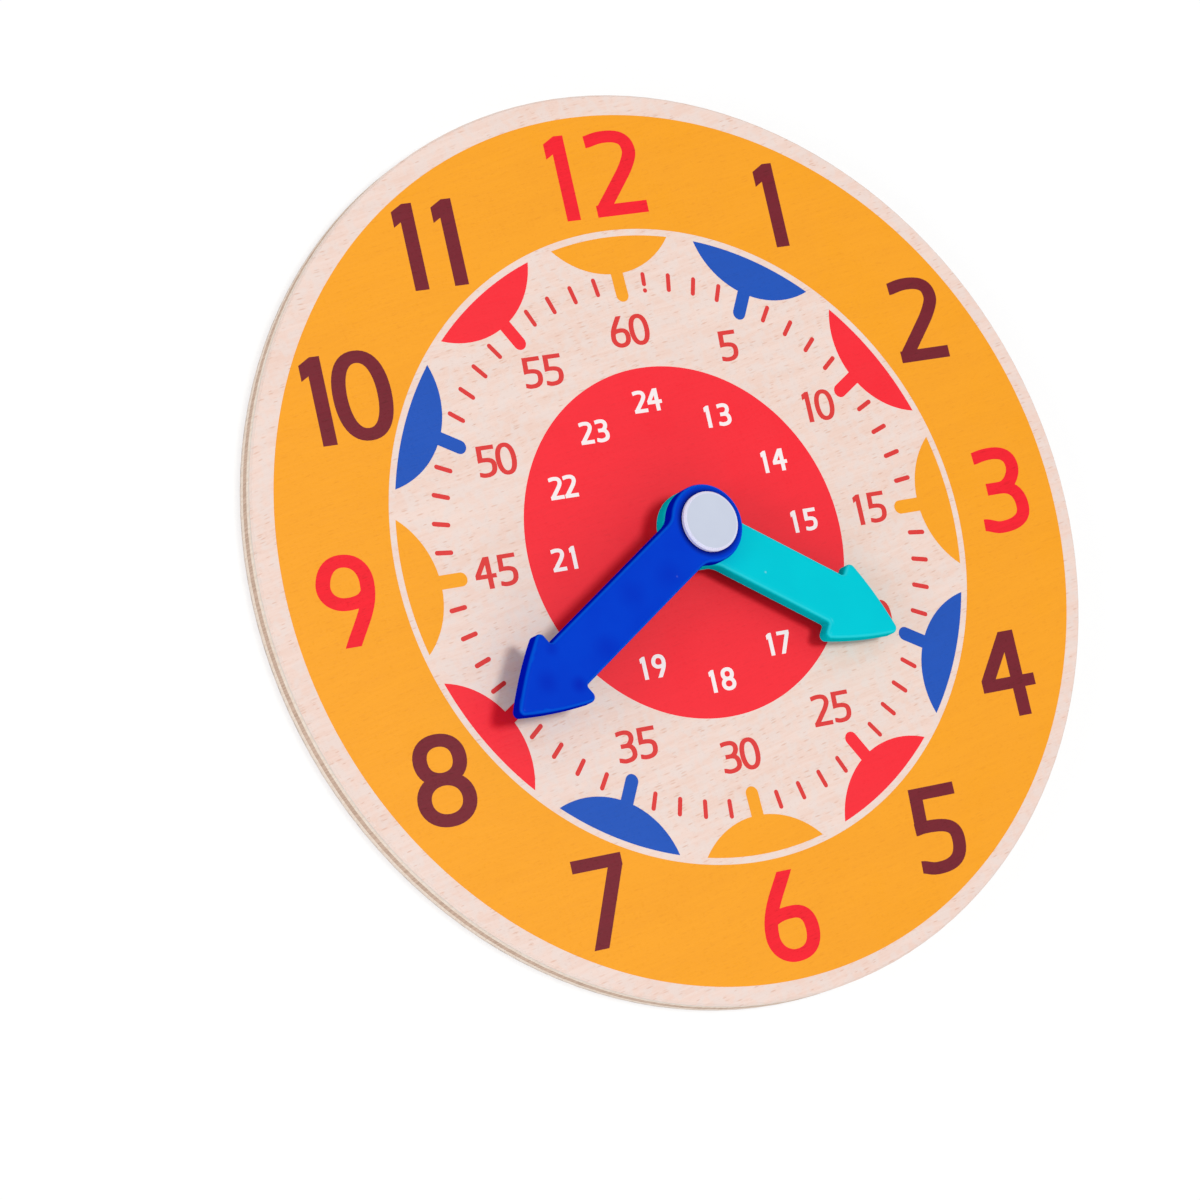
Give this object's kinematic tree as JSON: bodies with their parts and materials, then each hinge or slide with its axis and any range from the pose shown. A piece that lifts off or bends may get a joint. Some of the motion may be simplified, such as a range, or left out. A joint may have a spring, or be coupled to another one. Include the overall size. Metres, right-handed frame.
{
  "type": "teaching clock",
  "caption": "Round plywood teaching clock dial with coloured printed hour and minute scales and two barbed-arrow hands that turn by hand on a snap rivet.",
  "frame": {"origin": "middle of the board's flat back, on the surface that it lies on", "axes": "+Z out of the printed face, +Y to the 12, +X to the 3"},
  "size_m": [0.14, 0.14, 0.0125],
  "materials": {
    "face_veneer": "pale wood, clear matt lacquer",
    "crossband": "sanded plywood edge, lengthwise grain",
    "core": "sanded plywood edge, end grain",
    "hour_plastic": "moulded turquoise plastic, semi-gloss",
    "minute_plastic": "moulded blue plastic, semi-gloss",
    "rivet_plastic": "moulded pale grey-lavender plastic, semi-gloss",
    "spacer_plastic": "moulded pale plastic, matt",
    "ink_orange": "screen ink, satin",
    "ink_red": "screen ink, satin",
    "ink_blue": "screen ink, satin",
    "ink_plum": "screen ink, satin",
    "ink_white": "screen ink, satin"
  },
  "bodies": {
    "board": {"back_veneer": "face_veneer", "back_crossband": "crossband", "core_ply": "core", "front_crossband": "crossband", "front_veneer": "face_veneer", "spacer": "spacer_plastic", "rivet_cap": "rivet_plastic", "rivet_socket": "rivet_plastic"},
    "hour": {"hour_hand": "hour_plastic"},
    "minute": {"minute_hand": "minute_plastic"}
  },
  "joints": [
    {"name": "hour_turn", "type": "hinge", "parent": "board", "child": "hour", "pos_m": [0.0005, 0.0008, 0.0076], "axis": [0, 0, -1], "continuous": true},
    {"name": "minute_turn", "type": "hinge", "parent": "board", "child": "minute", "pos_m": [0.0005, 0.0008, 0.0102], "axis": [0, 0, -1], "continuous": true}
  ]
}
